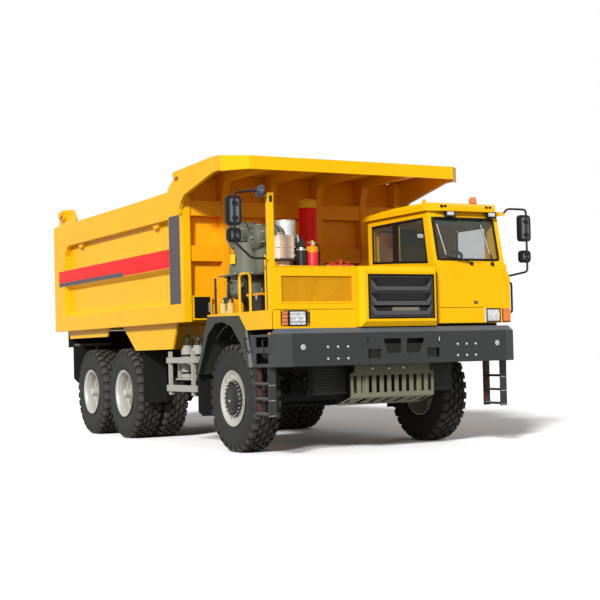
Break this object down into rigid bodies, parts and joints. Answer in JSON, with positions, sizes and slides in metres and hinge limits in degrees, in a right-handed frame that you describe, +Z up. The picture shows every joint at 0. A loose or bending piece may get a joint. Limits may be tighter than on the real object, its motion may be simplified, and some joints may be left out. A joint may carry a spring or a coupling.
{
  "type": "mining dump truck",
  "caption": "Off-highway dump truck with offset cab, open engine bay, tipping rock bed on a front telescopic hoist, twin rear axles.",
  "frame": {"origin": "on the ground, under the middle of the overall length and on the centre line", "axes": "+Z up, +Y towards the tail, +X towards the truck's left, the cab side"},
  "size_m": [4.5, 8.235, 3.7518],
  "materials": {
    "yellow_paint": "gloss enamel",
    "grey_paint": "satin",
    "chassis_paint": "satin",
    "olive_paint": "satin",
    "engine_grey": "satin",
    "rack_paint": "satin",
    "hoist_red": "gloss",
    "hoist_chrome": "polished",
    "tank_plastic": "translucent white",
    "black_plastic": "moulded",
    "flap_rubber": "matte",
    "window_glass": "clear",
    "clear_lens": "clear over silver",
    "amber_lens": "amber",
    "tyre": "matte",
    "rim_silver": "satin silver"
  },
  "bodies": {
    "chassis": {"front_panels": "yellow_paint", "grille_block": "yellow_paint", "post_and_rails": "yellow_paint", "cab_body": "yellow_paint", "cab_roof": "yellow_paint", "bumper": "grey_paint", "side_steps": "grey_paint", "front_fenders": "grey_paint", "frame_rails": "chassis_paint", "crossmembers": "chassis_paint", "springs": "chassis_paint", "front_axle": "chassis_paint", "rear_axles": "chassis_paint", "sump_guard": "olive_paint", "engine": "engine_grey", "air_intake": "engine_grey", "side_rack": "rack_paint", "fuel_tank": "rack_paint", "extinguisher": "hoist_red", "coolant_tank": "tank_plastic", "grille": "black_plastic", "mirrors": "black_plastic", "cab_interior": "black_plastic", "mud_flaps": "flap_rubber", "cab_glass": "window_glass", "lamps_clear": "clear_lens", "lamps_amber": "amber_lens"},
    "bed": {"bed_frame": "yellow_paint", "bed_sides": "yellow_paint", "headboard": "yellow_paint", "canopy": "yellow_paint", "bed_flaps": "flap_rubber"},
    "tailgate": {"tailgate": "yellow_paint"},
    "cab_door": {"cab_door": "yellow_paint", "door_glass": "window_glass"},
    "knuckle_right": {"knuckle_right": "chassis_paint"},
    "knuckle_left": {"knuckle_left": "chassis_paint"},
    "tie_rod": {"tie_rod": "chassis_paint"},
    "hoist_base": {"hoist_base": "hoist_chrome"},
    "hoist_stage_1": {"hoist_stage_1": "hoist_chrome"},
    "hoist_stage_2": {"hoist_stage_2": "hoist_chrome"},
    "hoist_cover": {"hoist_cover": "hoist_red"},
    "wheel_front_right": {"tyre_front_right": "tyre", "rim_front_right": "rim_silver"},
    "wheel_front_left": {"tyre_front_left": "tyre", "rim_front_left": "rim_silver"},
    "wheel_middle_right": {"tyres_middle_right": "tyre", "rim_middle_right": "rim_silver"},
    "wheel_middle_left": {"tyres_middle_left": "tyre", "rim_middle_left": "rim_silver"},
    "wheel_rear_right": {"tyres_rear_right": "tyre", "rim_rear_right": "rim_silver"},
    "wheel_rear_left": {"tyres_rear_left": "tyre", "rim_rear_left": "rim_silver"}
  },
  "joints": [
    {"name": "bed_hinge", "type": "hinge", "parent": "chassis", "child": "bed", "pos_m": [0, 3.3775, 1.45], "axis": [-1, 0, 0], "range_deg": [0, 45]},
    {"name": "gate_hinge", "type": "hinge", "parent": "bed", "child": "tailgate", "pos_m": [0, 3.7975, 3.66], "axis": [1, 0, 0], "range_deg": [0, 60]},
    {"name": "door_hinge", "type": "hinge", "parent": "chassis", "child": "cab_door", "pos_m": [1.702, -3.6555, 0], "axis": [0, 0, -1], "range_deg": [0, 65]},
    {"name": "steer_right", "type": "hinge", "parent": "chassis", "child": "knuckle_right", "pos_m": [-1.32, -2.5225, 0], "axis": [0, 0, 1], "range_deg": [-30, 30]},
    {"name": "steer_left", "type": "hinge", "parent": "chassis", "child": "knuckle_left", "pos_m": [1.32, -2.5225, 0], "axis": [0, 0, 1], "range_deg": [-30, 30]},
    {"name": "tie_rod_pivot", "type": "hinge", "parent": "knuckle_right", "child": "tie_rod", "pos_m": [-1.17, -2.2025, 0], "axis": [0, 0, 1], "range_deg": [-33.9, 33.9]},
    {"name": "hoist_pivot", "type": "hinge", "parent": "chassis", "child": "hoist_base", "pos_m": [0, -1.7525, 1.3], "axis": [-1, 0, 0], "range_deg": [0, 24.42]},
    {"name": "hoist_slide_1", "type": "slide", "parent": "hoist_base", "child": "hoist_stage_1", "axis": [0, 0, 1], "range_m": [0, 1.2919]},
    {"name": "hoist_slide_2", "type": "slide", "parent": "hoist_stage_1", "child": "hoist_stage_2", "axis": [0, 0, 1], "range_m": [0, 1.2919]},
    {"name": "hoist_slide_3", "type": "slide", "parent": "hoist_stage_2", "child": "hoist_cover", "axis": [0, 0, 1], "range_m": [0, 1.2919]},
    {"name": "roll_front_right", "type": "hinge", "parent": "knuckle_right", "child": "wheel_front_right", "pos_m": [0, -2.5225, 0.684], "axis": [1, 0, 0], "continuous": true},
    {"name": "roll_front_left", "type": "hinge", "parent": "knuckle_left", "child": "wheel_front_left", "pos_m": [0, -2.5225, 0.684], "axis": [1, 0, 0], "continuous": true},
    {"name": "roll_middle_right", "type": "hinge", "parent": "chassis", "child": "wheel_middle_right", "pos_m": [0, 1.2775, 0.684], "axis": [1, 0, 0], "continuous": true},
    {"name": "roll_middle_left", "type": "hinge", "parent": "chassis", "child": "wheel_middle_left", "pos_m": [0, 1.2775, 0.684], "axis": [1, 0, 0], "continuous": true},
    {"name": "roll_rear_right", "type": "hinge", "parent": "chassis", "child": "wheel_rear_right", "pos_m": [0, 2.7575, 0.684], "axis": [1, 0, 0], "continuous": true},
    {"name": "roll_rear_left", "type": "hinge", "parent": "chassis", "child": "wheel_rear_left", "pos_m": [0, 2.7575, 0.684], "axis": [1, 0, 0], "continuous": true}
  ],
  "couplings": [
    {"joint": "steer_left", "follows": "steer_right", "ratio": 1},
    {"joint": "tie_rod_pivot", "follows": "steer_right", "ratio": -1.12},
    {"joint": "hoist_pivot", "follows": "bed_hinge", "ratio": 0.5426},
    {"joint": "hoist_slide_1", "follows": "bed_hinge", "m_per_rad": 1.6446},
    {"joint": "hoist_slide_2", "follows": "bed_hinge", "m_per_rad": 1.6446},
    {"joint": "hoist_slide_3", "follows": "bed_hinge", "m_per_rad": 1.6446}
  ]
}
